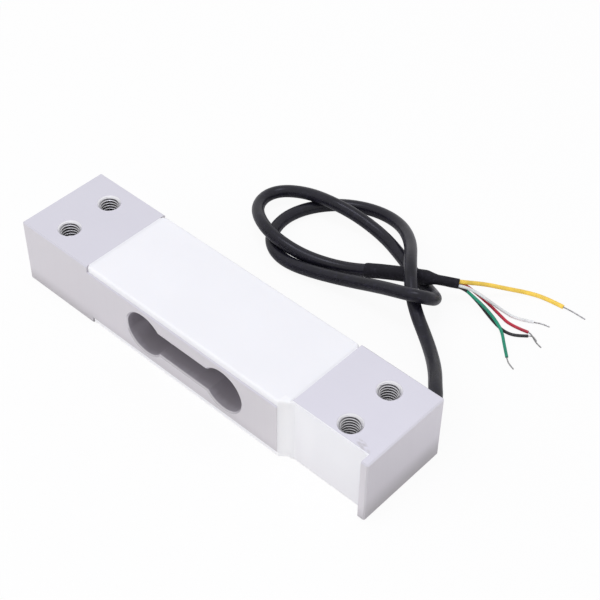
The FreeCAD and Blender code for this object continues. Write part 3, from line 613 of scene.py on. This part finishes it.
@dataclass(frozen=True)
class Silicone(Finish):
    """White silicone rubber, smoothed by hand, with a soft waxy gloss."""

    roughness: float = 0.5
    # Painted shade on the side panel towards its foot, and painted light on the meniscus at its end.
    panel_foot_shade_colour: Colour = Colour(241, 240, 243)
    slope_light_colour: Colour = Colour(254, 254, 255)
    swell_scale: float = 55.0
    swell: Ramp = Ramp(0.3, 0.7)
    skin_scale: float = 900.0
    skin_roughness: Ramp = Ramp(-0.06, 0.08)
    pit_scale: float = 420.0
    pit: Ramp = Ramp(0.02, 0.09)
    panel_x: Ramp = Ramp(0.0346, 0.0349)
    panel_y: Ramp = Ramp(-0.0119, -0.0115)
    slope_light_x: Ramp = Ramp(0.0362, 0.0398)
    panel_shade_height: Ramp = Ramp(0.0, 0.0218)
    relief: float = 0.00007

    def surface(self, graph: Graph) -> Signal:
        """The shader: a faint swell and skin, with painted shade darkening the side panel towards its foot
        and painted light on the meniscus at its end.
        """
        place = graph.place()
        swell = graph.cloud(place, self.swell_scale)
        skin = graph.cloud(place, self.skin_scale, 3.0)
        pits = graph.node("TexVoronoi", inputs={"Vector": place, "Scale": self.pit_scale}, output="Distance")
        speck = graph.fall(pits, self.pit)
        tone = graph.blend(
            graph.rise(swell, self.swell), self.colour.scaled(0.996), self.colour.scaled(1.004))
        x, y, z = graph.axes(place)
        panel = graph.rise(x, self.panel_x) * graph.fall(y, self.panel_y)
        slope = graph.fall(x, self.slope_light_x)
        low = graph.fall(z, self.panel_shade_height)
        # Painted shade: the side panel darker towards its foot; painted light: lighter on the meniscus at its
        # end.
        tone = graph.blend(panel * (1 - slope) * low, tone, self.panel_foot_shade_colour)
        tone = graph.blend(panel * slope, tone, self.slope_light_colour)
        return graph.principled(
            Base_Color=graph.blend(speck * 0.08, tone, self.colour.scaled(0.86)),
            Roughness=graph.spread(skin, MOST_NOISE, self.roughness, self.skin_roughness),
            Subsurface_Weight=0.15,
            Subsurface_Radius=(0.0015, 0.0014, 0.0013),
            Subsurface_Scale=1.0,
            Normal=graph.bump(swell * 1.5 + skin * 0.3, self.relief, 0.4))


@dataclass(frozen=True)
class Rubber(Finish):
    """Soft PVC or shrink tubing, finely textured and a little scuffed."""

    roughness: float = 0.45
    grain: float = 1800.0
    relief: float = 0.00003
    gloss: float = 0.5
    scuffed: float = 1.1
    smear_scale: float = 160.0
    smear: Ramp = Ramp(0.25, 0.75)
    smear_roughness: Ramp = Ramp(-0.05, 0.08)
    scuff_scale: float = 750.0
    scuff: Ramp = Ramp(0.5, 0.8)

    def surface(self, graph: Graph) -> Signal:
        """The shader: a fine grain with smears and paler scuffs."""
        place = graph.place()
        grain = graph.cloud(place, self.grain, 3.0, 0.6)
        smear = graph.cloud(place, self.smear_scale, 3.0)
        tone = graph.blend(graph.rise(smear, self.smear), self.colour.scaled(0.9), self.colour.scaled(1.1))
        scuff = graph.cloud(place, self.scuff_scale, 3.0, 0.65)
        return graph.principled(
            Base_Color=graph.blend(graph.rise(scuff, self.scuff), tone, self.colour.scaled(self.scuffed)),
            Roughness=graph.spread(smear, MOST_NOISE, self.roughness, self.smear_roughness),
            Specular_IOR_Level=self.gloss,
            Normal=graph.bump(grain + smear * 1.5, self.relief, 0.6))


@dataclass(frozen=True)
class TinnedCopper(Finish):
    """Stranded copper wire with a coat of solder."""

    flux_scale: float = 2200.0
    flux: Ramp = Ramp(0.35, 0.7)
    bright_roughness: float = 0.22
    dull_roughness: float = 0.42
    relief: float = 0.00004

    def surface(self, graph: Graph) -> Signal:
        """The shader: solder, duller where flux is left."""
        flux = graph.cloud(graph.place(), self.flux_scale, 3.0)
        return graph.principled(
            Base_Color=graph.blend(graph.rise(flux, self.flux), self.colour, self.colour.scaled(0.82)),
            Metallic=1.0,
            Roughness=graph.rise(flux, MOST_NOISE, self.bright_roughness, self.dull_roughness),
            Normal=graph.bump(flux, self.relief, 0.5))


@dataclass(frozen=True)
class Bonded(Finish):
    """A thin or small inner part: film, foil, enamel, laminate, chip or potting."""

    second: Colour
    metallic: float = 0.0
    roughness: float = 0.4
    pattern: float = 1500.0
    mottled: Ramp = Ramp(0.35, 0.65)
    relief: float = 0.00002

    def surface(self, graph: Graph) -> Signal:
        """The shader: two close colours in a fine pattern."""
        grain = graph.cloud(graph.place(), self.pattern)
        return graph.principled(
            Base_Color=graph.blend(graph.rise(grain, self.mottled), self.colour, self.second),
            Metallic=self.metallic,
            Roughness=self.roughness,
            Normal=graph.bump(grain, self.relief, 0.4))


ALUMINIUM = MachinedAluminium("beam_aluminium", Colour(211, 209, 220))
SILICONE = Silicone("white_silicone", Colour(249, 249, 252))
JACKET = Rubber("cable_pvc", Colour(24, 23, 32), roughness=0.30, gloss=0.28, scuffed=1.7)
SHRINK = Rubber("shrink_tube", Colour(26, 25, 31), roughness=0.6, grain=2600.0, gloss=0.16, scuffed=1.8)
TINNED = TinnedCopper("tinned_wire", Colour(172, 171, 172))
INSULATION = {
    LeadColour.RED: Rubber("red_pvc", Colour(190, 32, 60), roughness=0.4),
    LeadColour.BLACK: Rubber("black_pvc", Colour(20, 19, 22), roughness=0.4),
    LeadColour.GREEN: Rubber("green_pvc", Colour(16, 139, 108), roughness=0.4),
    LeadColour.WHITE: Rubber("white_pvc", Colour(228, 230, 230), roughness=0.4),
    LeadColour.YELLOW: Rubber("yellow_tube", Colour(244, 206, 84), roughness=0.45),
}
FILM = Bonded("carrier_polyimide", Colour(178, 116, 42), Colour(196, 138, 60), roughness=0.35)
FOIL = Bonded(
    "gauge_constantan", Colour(196, 178, 160), Colour(172, 152, 132), metallic=1.0, roughness=0.3)
ENAMEL = Bonded("wire_enamel", Colour(150, 66, 30), Colour(176, 88, 44), roughness=0.25)
LAMINATE = Bonded("board_glass_epoxy", Colour(26, 98, 58), Colour(34, 116, 70), roughness=0.35)
CHIP = Bonded("chip_ceramic", Colour(28, 28, 30), Colour(44, 44, 46), roughness=0.5, pattern=3000.0)
POTTING = Bonded("inlet_potting", Colour(214, 214, 212), Colour(230, 230, 226), roughness=0.45)


def add_object(name: str, data: bpy.types.ID) -> Object:
    """Put data into the scene as an object."""
    made = bpy.data.objects.new(name, data)
    bpy.context.scene.collection.objects.link(made)
    return made


class Route:
    """A NURBS spline through the air, drawn by given control points."""

    def __init__(self, name: str, points: Sequence[Point]) -> None:
        """Draw the spline through the air and read the line that it follows."""
        self.curve = bpy.data.curves.new(name, "CURVE")
        self.curve.dimensions = "3D"
        self.curve.resolution_u = 16
        spline = self.curve.splines.new("NURBS")
        spline.points.add(len(points) - 1)
        for control, point in zip(spline.points, points):
            control.co = (*point, 1.0)
        spline.order_u = 3
        spline.use_endpoint_u = True
        self.object = add_object(name, self.curve)
        mesh = bpy.data.meshes.new_from_object(self.object)
        self.line = [vertex.co.copy() for vertex in mesh.vertices]
        bpy.data.meshes.remove(mesh)

    def thicken(self, radius: float, finish: Finish, sides: int = 8) -> Object:
        """Give the spline its round section and its finish, and let it ride on the beam."""
        self.curve.bevel_depth = radius
        self.curve.bevel_resolution = sides
        self.curve.use_fill_caps = True
        self.curve.materials.append(finish.material())
        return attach(self.object, BODY)

    def discard(self) -> None:
        """Remove a spline that only guided a mesh."""
        bpy.data.objects.remove(self.object)
        bpy.data.curves.remove(self.curve)


def length_of(line: Sequence[Vector]) -> float:
    """The length of a polyline."""
    return sum((stop - start).length for start, stop in zip(line, line[1:]))


def resampled(line: Sequence[Vector], step: float) -> list[Vector]:
    """Points about a step apart along a polyline, with both of its ends."""
    count = max(2, round(length_of(line) / step))
    goal = length_of(line) / count
    spots = [line[0].copy()]
    travelled = 0.0
    for start, stop in zip(line, line[1:]):
        run = (stop - start).length
        while run > 0 and len(spots) < count and goal * len(spots) <= travelled + run:
            spots.append(start.lerp(stop, (goal * len(spots) - travelled) / run))
        travelled += run
    spots.append(line[-1].copy())
    return spots


RadiusRule = Callable[[float, float], float]
VertexRow = list[bmesh.types.BMVert]


@dataclass
class Tube:
    """A mesh of round section along a line, its radius given by distance and angle."""

    line: list[Vector]
    radius: RadiusRule
    sides: int

    def rings(self) -> list[list[Vector]]:
        """The rings of points, turned as little as possible from one to the next."""
        tangents = [
            (self.line[min(place + 1, len(self.line) - 1)] - self.line[max(place - 1, 0)]).normalized()
            for place in range(len(self.line))
        ]
        side = tangents[0].orthogonal().normalized()
        travelled = 0.0
        rings = []
        for place, (centre, tangent) in enumerate(zip(self.line, tangents)):
            if place:
                side = tangents[place - 1].rotation_difference(tangent) @ side
                travelled += (centre - self.line[place - 1]).length
            other = tangent.cross(side)
            ring = []
            for step in range(self.sides):
                angle = math.tau * step / self.sides
                reach = self.radius(travelled, angle)
                ring.append(centre + (side * math.cos(angle) + other * math.sin(angle)) * reach)
            rings.append(ring)
        return rings


class MeshPiece:
    """A mesh built face by face, which becomes an object that rides on the beam."""

    def __init__(self, name: str) -> None:
        """Start an empty mesh under the piece's name."""
        self.name = name
        self.mesh = bmesh.new()

    def row(self, points: Iterable[Vector]) -> VertexRow:
        """Add a row of points."""
        return [self.mesh.verts.new(point) for point in points]

    def weld(self, lower: VertexRow, upper: VertexRow, closed: bool = True) -> None:
        """Join two rows of the same length by faces."""
        for step in range(len(lower) if closed else len(lower) - 1):
            after = (step + 1) % len(lower)
            self.mesh.faces.new((lower[step], lower[after], upper[after], upper[step]))

    def bridge(self, rings: Iterable[Sequence[Vector]], closed: bool = True) -> list[VertexRow]:
        """Join rings of points, each as long as the next, by faces; the result is their vertices."""
        rows = [self.row(ring) for ring in rings]
        for lower, upper in zip(rows, rows[1:]):
            self.weld(lower, upper, closed)
        return rows

    def cap(self, ring: VertexRow, flip: bool = False) -> None:
        """Close a ring with one face, turned over if flip is set."""
        self.mesh.faces.new(tuple(reversed(ring)) if flip else tuple(ring))

    def finish(self, finish: Finish, sharp_angle: float = 35.0) -> Object:
        """Make the object.

        Args:
            finish: What it is made of.
            sharp_angle: Edges that turn by more than this many degrees stay crisp.

        Returns:
            The object, riding on the beam.
        """
        data = bpy.data.meshes.new(self.name)
        self.mesh.to_mesh(data)
        self.mesh.free()
        for face in data.polygons:
            face.use_smooth = True
        data.set_sharp_from_angle(angle=math.radians(sharp_angle))
        data.materials.append(finish.material())
        made = add_object(self.name, data)
        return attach(made, BODY)


@dataclass(frozen=True)
class View:
    """The camera, placed where the photograph was taken."""

    position: Point = (0.19300, -0.18249, 0.28617)
    right: Point = (0.736035, 0.676857, 0.010773)
    down: Point = (0.481790, -0.512602, -0.710717)
    lens: float = 83.424
    sensor: float = 36.0
    nearest: float = 0.01
    farthest: float = 20.0

    def place(self) -> None:
        """Make the camera and use it."""
        data = bpy.data.cameras.new("view")
        data.lens = self.lens
        data.sensor_width = self.sensor
        data.clip_start = self.nearest
        data.clip_end = self.farthest
        camera = add_object("view", data)
        right = Vector(self.right).normalized()
        up = -Vector(self.down).normalized()
        back = right.cross(up).normalized()
        turn = Matrix((right, back.cross(right), back)).transposed()
        camera.matrix_world = Matrix.Translation(self.position) @ turn.to_4x4()
        bpy.context.scene.camera = camera


@dataclass(frozen=True)
class Lamp:
    """A square soft lamp that looks at the middle of the table."""

    name: str
    place: Point
    size: float
    power: float
    tint: Point
    mirrored: bool = True

    def build(self) -> None:
        """Make the lamp."""
        data = bpy.data.lights.new(self.name, "AREA")
        data.shape = "SQUARE"
        data.size = self.size
        data.energy = self.power
        data.color = self.tint
        lamp = add_object(self.name, data)
        lamp.location = self.place
        lamp.rotation_euler = Vector(self.place).to_track_quat("Z", "Y").to_euler()
        lamp.visible_glossy = self.mirrored


@dataclass(frozen=True)
class Studio:
    """A white table under soft light."""

    floor_half_side: float = 3.0
    floor_tone: Colour = Colour(246, 245, 245)
    floor_roughness: float = 0.6
    floor_camera_share: float = 0.92
    sky_light: float = 0.60
    sky_mirrored: float = 1.0
    lamps: tuple[Lamp, ...] = (
        Lamp("key", (-0.28, -0.62, 0.68), 1.0, 3.4, (1.0, 1.0, 1.0), mirrored=False),
        Lamp("top", (0.0, 0.0, 1.0), 0.30, 1.6, (0.97, 0.98, 1.20)),
    )

    def build(self) -> None:
        """Make the floor, the sky and the lamps."""
        self.make_floor()
        self.make_sky()
        for lamp in self.lamps:
            lamp.build()
        bpy.context.scene.view_settings.view_transform = "Standard"

    @staticmethod
    def ray(graph: Graph, kind: Ray) -> Signal:
        """1 for rays of one kind."""
        return graph.node("LightPath", output=kind.value)

    def make_floor(self) -> None:
        """A large pale floor that looks white and keeps the object's shadow."""
        material, graph = Graph.for_material("table")
        lit = graph.principled(Base_Color=self.floor_tone, Roughness=self.floor_roughness)
        white = graph.node("Emission", inputs={"Color": PURE_WHITE, "Strength": 1.0})
        seen = self.ray(graph, Ray.CAMERA) * self.floor_camera_share
        graph.close(graph.node("MixShader", inputs={0: seen, 1: lit, 2: white}))
        data = bpy.data.meshes.new("table")
        half = self.floor_half_side
        corners = [(-half, -half, 0.0), (half, -half, 0.0), (half, half, 0.0), (-half, half, 0.0)]
        data.from_pydata(corners, [], [(0, 1, 2, 3)])
        data.materials.append(material)
        floor = add_object("table", data)

    def make_sky(self) -> None:
        """A plain sky that is white where it is seen or mirrored."""
        world = bpy.data.worlds.new("studio")
        world.use_nodes = True
        bpy.context.scene.world = world
        graph = Graph(world.node_tree)
        seen = graph.math(
            Operation.MAXIMUM, self.ray(graph, Ray.CAMERA),
            graph.math(Operation.MAXIMUM, self.ray(graph, Ray.GLOSSY), self.ray(graph, Ray.TRANSMISSION)))
        strength = graph.rise(seen, Ramp(0.0, 1.0), self.sky_light, self.sky_mirrored)
        graph.close(graph.node("Background", inputs={"Color": PURE_WHITE, "Strength": strength}))


@dataclass(frozen=True)
class ShrinkSleeve:
    """A wrinkled sheath over the jacket's end that tapers to an open mouth round the leads."""

    jacket_radius: float
    length: float = 0.0185
    radius: float = 0.00223
    neck_radius: float = 0.0015
    mouth_radius: float = 0.00132
    mouth_depth: float = 0.002
    mouth: Point = (0.03276, 0.06441, 0.0061)
    taper_length: float = 0.004
    taper_overlap: float = 0.0006
    edge_length: float = 0.0005
    edge_drop: float = 0.0001
    wrinkle_height: float = 0.00006
    wrinkle_pace: float = 420.0
    wrinkle_turn: float = 1.6
    fine_height: float = 0.00003
    fine_pace: float = 2.3
    squeeze: float = 0.00005
    ring_step: float = 0.00035
    sides: int = 40
    sharp_angle: float = 50.0

    def path(self, line: Sequence[Vector]) -> tuple[list[Vector], float]:
        """The sleeve's axis.

        Args:
            line: The jacket's line, which ends inside the sleeve.

        Returns:
            Points from the sleeve's start to its mouth, and how far along them the jacket ends.
        """
        covered: list[Vector] = []
        for point in reversed(line):
            covered.append(point)
            if length_of(covered) >= self.length:
                break
        path = resampled([*reversed(covered), Vector(self.mouth)], self.ring_step)
        return path, length_of(path) - (Vector(self.mouth) - line[-1]).length

    def reach(self, distance: float, angle: float, sheath: float) -> float:
        """The outer radius at a distance along the sleeve, whose jacket ends at sheath."""
        taper = min(1.0, max(0.0, (distance - sheath + self.taper_overlap) / self.taper_length))
        smooth = taper * taper * (3 - 2 * taper)
        plain = self.radius + (self.neck_radius - self.radius) * smooth
        start = min(1.0, distance / self.edge_length)
        spot = Vector((
            distance * self.wrinkle_pace,
            math.cos(angle) * self.wrinkle_turn, math.sin(angle) * self.wrinkle_turn))
        wrinkle = noise.noise(spot) * self.wrinkle_height
        wrinkle += noise.noise(spot * self.fine_pace) * self.fine_height
        return plain - self.edge_drop * (1 - start) + wrinkle * start

    def build(self, line: Sequence[Vector]) -> Object:
        """Make the sleeve over the end of the jacket's line."""
        path, sheath = self.path(line)
        piece = MeshPiece("sleeve_wrinkled")
        rings = Tube(path, lambda distance, angle: self.reach(distance, angle, sheath), self.sides).rings()
        outer = piece.bridge(rings)
        axis = (path[-1] - path[-2]).normalized()
        centre = path[-1]
        inner = []
        for depth, reach in ((0.0, self.mouth_radius), (self.mouth_depth, self.mouth_radius - self.squeeze)):
            inner.append([
                centre - axis * depth + (point - centre).normalized() * reach for point in rings[-1]])
        bore = piece.bridge(inner)
        piece.weld(outer[-1], bore[0])
        piece.cap(bore[-1])
        lip = piece.row(
            path[0] + (point - path[0]).normalized() * (self.jacket_radius - self.squeeze)
            for point in rings[0])
        piece.weld(lip, outer[0])
        made = piece.finish(SHRINK, self.sharp_angle)
        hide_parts("shrink_sleeve")
        return made


@dataclass(frozen=True)
class WireEnd:
    """The twisted strands beyond a lead, tinned together."""

    colour: LeadColour
    radius: float = 0.000185
    outer_strands: int = 7
    lay_length: float = 0.0045
    flute_depth: float = 0.00002
    tin_height: float = 0.00003
    tin_pace: float = 1500.0
    tip_length: float = 0.00015
    tip_share: float = 0.55
    ring_step: float = 0.00008
    sides: int = 28
    sharp_angle: float = 60.0

    def reach(self, distance: float, angle: float, total: float) -> float:
        """The radius at a distance along the wire, total metres long."""
        lay = self.outer_strands * (angle - distance * math.tau / self.lay_length)
        flute = self.flute_depth * abs(math.sin(lay / 2))
        tin = self.tin_height * noise.noise(Vector((distance * self.tin_pace, 3.0, 0.0)))
        tip = max(0.0, min(1.0, (total - distance) / self.tip_length))
        return (self.radius + flute + tin) * (self.tip_share + (1 - self.tip_share) * math.sqrt(tip))

    def build(self) -> Object:
        """Twist the strands along their route."""
        colour = self.colour
        route = Route(f"strands_{colour.value}", WIRE_END_ROUTES[colour])
        path = resampled(route.line, self.ring_step)
        total = length_of(path)
        route.discard()
        piece = MeshPiece(f"wire_end_{colour.value}_strands")
        tube = Tube(path, lambda distance, angle: self.reach(distance, angle, total), self.sides)
        rows = piece.bridge(tube.rings())
        piece.cap(rows[0], flip=True)
        piece.cap(rows[-1])
        made = piece.finish(TINNED, self.sharp_angle)
        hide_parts(f"wire_end_{colour.value}")
        return made


@dataclass
class SignalCable:
    """The free cable, its shrink sleeve, and the leads and bare ends that fan out of it."""

    cable_radius: float = 0.00195
    cable_sides: int = 12
    length: float = 0.3560
    lead_radius: float = 0.00046
    drain_radius: float = 0.00065

    def build(self) -> None:
        route = Route("cable_run", CABLE_ROUTE)
        cable = route.thicken(self.cable_radius, JACKET, sides=self.cable_sides)
        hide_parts("signal_cable")
        fittings = [ShrinkSleeve(self.cable_radius).build(route.line)]
        for colour in LeadColour:
            fittings.append(self.make_lead(colour))
            fittings.append(WireEnd(colour).build())
        LOG.info("cable laid: %.4f m", length_of(route.line))

    def make_lead(self, colour: LeadColour) -> Object:
        """One insulated lead; the yellow one is the wider tube over the drain wire."""
        radius = self.drain_radius if colour is LeadColour.YELLOW else self.lead_radius
        route = Route(f"lead_{colour.value}_run", LEAD_ROUTES[colour])
        made = route.thicken(radius, INSULATION[colour])
        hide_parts(f"lead_{colour.value}")
        return made


@dataclass(frozen=True)
class HoleThread:
    """The M6 thread cut in one mounting hole, countersunk at both ends."""

    name: str
    centre_x: float
    centre_y: float
    major_radius: float = 0.003
    minor_radius: float = 0.0025
    cone_radius: float = 0.0035
    pitch: float = 0.001
    sides: int = 56
    flank_steps: int = 4
    foot_share: float = 0.46
    flank_share: float = 0.335
    run_in: float = 0.2
    wall_overlap: float = 0.00002
    end_gap: float = 0.0004
    sharp_angle: float = 25.0

    def profile(self) -> list[tuple[float, float]]:
        """Points across the ridge: how far along the hole, in pitches, and how far in, from 0 to 1."""
        flank = [step / self.flank_steps for step in range(self.flank_steps + 1)]
        lower = [(-self.foot_share + self.flank_share * share, share) for share in flank]
        return lower + [(-lift, share) for lift, share in reversed(lower)]

    def build(self) -> Object:
        """Wind the thread's ridge round the wall of the hole, cut off by the countersinks."""
        piece = MeshPiece(self.name)
        height = BLOCK.height
        steps = round((height / self.pitch - 2 * self.run_in) * self.sides)
        profile = self.profile()
        depth = self.major_radius - self.minor_radius
        rows = []
        for step in range(steps + 1):
            angle = math.tau * step / self.sides
            start = (self.run_in + step / self.sides) * self.pitch
            row = []
            for lift, share in profile:
                rise = start + lift * self.pitch
                cone = self.cone_radius - min(rise, height - rise)
                ridge = max(self.major_radius - depth * share, cone)
                reach = min(self.major_radius + self.wall_overlap, ridge)
                row.append(Vector((
                    self.centre_x + reach * math.cos(angle),
                    self.centre_y + reach * math.sin(angle),
                    min(height - self.end_gap, max(self.end_gap, rise)))))
            rows.append(row)
        piece.bridge(rows, closed=False)
        made = piece.finish(ALUMINIUM, self.sharp_angle)
        return made


class Beam:
    """The aluminium block and its four threaded holes."""

    def build(self, nodes: dict[str, Object]) -> None:
        """Dress the block and cut its threads."""
        dress(nodes["beam"], ALUMINIUM)
        for end, x in (("load", -BLOCK.hole_x), ("fixed", BLOCK.hole_x)):
            for side, y in (("near", -BLOCK.hole_y), ("far", BLOCK.hole_y)):
                HoleThread(f"thread_{end}_{side}", x, y).build()


@dataclass(frozen=True)
class StripEnds:
    """Silicone wiped flush between each end of the top strip and the end pad beside it."""

    pad_x: float = 0.0375
    load_near_y: float = -0.0139
    fixed_near_y: float = -0.0110
    far_y: float = 0.0131
    width: float = 0.0006

    def build(self) -> None:
        """Fill both corners."""
        self.make_bead("strip_bead_load", -self.pad_x, self.load_near_y)
        self.make_bead("strip_bead_fixed", self.pad_x, self.fixed_near_y)

    def make_bead(self, name: str, pad_x: float, near_y: float) -> Object:
        """Fill the corner at the pad wall pad_x with a small wedge that starts at near_y."""
        strip_x = pad_x - math.copysign(self.width, pad_x)
        top = BLOCK.height
        section = ((strip_x, top), (pad_x, top), (pad_x, top - self.width))
        piece = MeshPiece(name)
        rows = piece.bridge([[Vector((x, y, z)) for x, z in section] for y in (near_y, self.far_y)])
        for row in rows:
            piece.cap(row)
        bmesh.ops.recalc_face_normals(piece.mesh, faces=piece.mesh.faces[:])
        made = piece.finish(SILICONE)
        return made


class InnerWorks:
    """The silicone and the gauges, wires, board and cable inlet under it."""

    FINISHES: ClassVar[dict[str, Finish]] = {
        "gauge_film": FILM,
        "gauge_grid": FOIL,
        "gauge_wires": ENAMEL,
        "compensation_board": LAMINATE,
        "trim_resistors": CHIP,
        "span_resistor": CHIP,
        "cable_entry": JACKET,
        "cable_potting": POTTING,
        "top_seal": SILICONE,
        "bottom_seal": SILICONE,
        "side_seal": SILICONE,
    }

    def build(self, nodes: dict[str, Object]) -> None:
        """Give each node its finish."""
        for name, node in nodes.items():
            for stem, finish in self.FINISHES.items():
                if name.startswith(stem):
                    dress(node, finish)
            if name.startswith("core_"):
                dress(node, INSULATION[LeadColour(name.removeprefix("core_"))])


def dress(node: Object, finish: Finish) -> None:
    """Give a node of the model a finish in place of its plain one."""
    material = finish.material()
    if not node.material_slots:
        node.data.materials.append(material)
    for place in node.material_slots:
        place.material = material


def main() -> None:
    """Dress the load cell and light it."""
    logging.basicConfig(level=logging.INFO, format="%(name)s: %(message)s")
    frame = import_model()
    nodes = frame["nodes"]
    View().place()
    SignalCable().build()
    Beam().build(nodes)
    InnerWorks().build(nodes)
    StripEnds().build()
    Studio().build()


if __name__ == "__main__":
    main()
